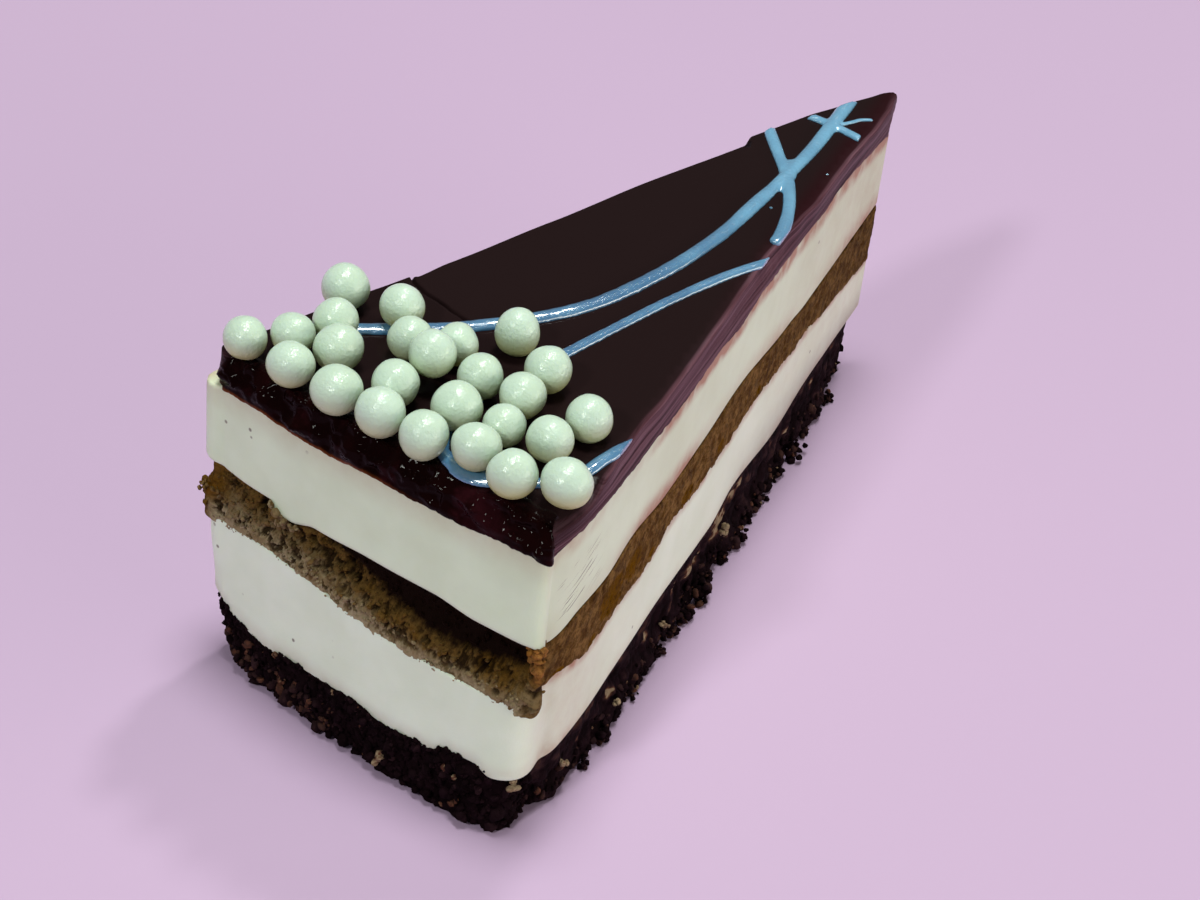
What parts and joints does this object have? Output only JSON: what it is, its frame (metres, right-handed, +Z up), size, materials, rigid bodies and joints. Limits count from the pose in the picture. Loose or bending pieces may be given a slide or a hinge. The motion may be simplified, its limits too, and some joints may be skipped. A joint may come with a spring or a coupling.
{
  "type": "tiramisu cheesecake slice",
  "caption": "Wedge slice of layered tiramisu cheesecake: dark crumb base, cream, coffee sponge, cream and a dark glaze with piped drizzle and white chocolate pearls at its rim end.",
  "frame": {"origin": "middle of the underside, on the surface that the slice stands on", "axes": "+Z up, +Y along the slice from its rim end towards its tip, +X to the right as seen from the rim end"},
  "size_m": [0.0538, 0.1244, 0.056],
  "materials": {
    "crumb": "rough dark cocoa biscuit crumb",
    "cream": "smooth satin cream cheese filling",
    "sponge": "moist open coffee sponge",
    "glaze": "smooth wet dark chocolate glaze",
    "drizzle": "glossy pale set icing",
    "pearl": "satin white chocolate coating"
  },
  "bodies": {
    "root": {"crumb_base": "crumb", "lower_cream": "cream", "sponge": "sponge", "upper_cream": "cream", "glaze": "glaze", "pearl_01": "pearl", "pearl_02": "pearl", "pearl_03": "pearl", "pearl_04": "pearl", "pearl_05": "pearl", "pearl_06": "pearl", "pearl_07": "pearl", "pearl_08": "pearl", "pearl_09": "pearl", "pearl_10": "pearl", "pearl_11": "pearl", "pearl_12": "pearl", "pearl_13": "pearl", "pearl_14": "pearl", "pearl_15": "pearl", "pearl_16": "pearl", "pearl_17": "pearl", "pearl_18": "pearl", "pearl_19": "pearl", "pearl_20": "pearl", "pearl_21": "pearl", "pearl_22": "pearl", "pearl_23": "pearl", "pearl_24": "pearl", "pearl_25": "pearl"}
  },
  "joints": []
}
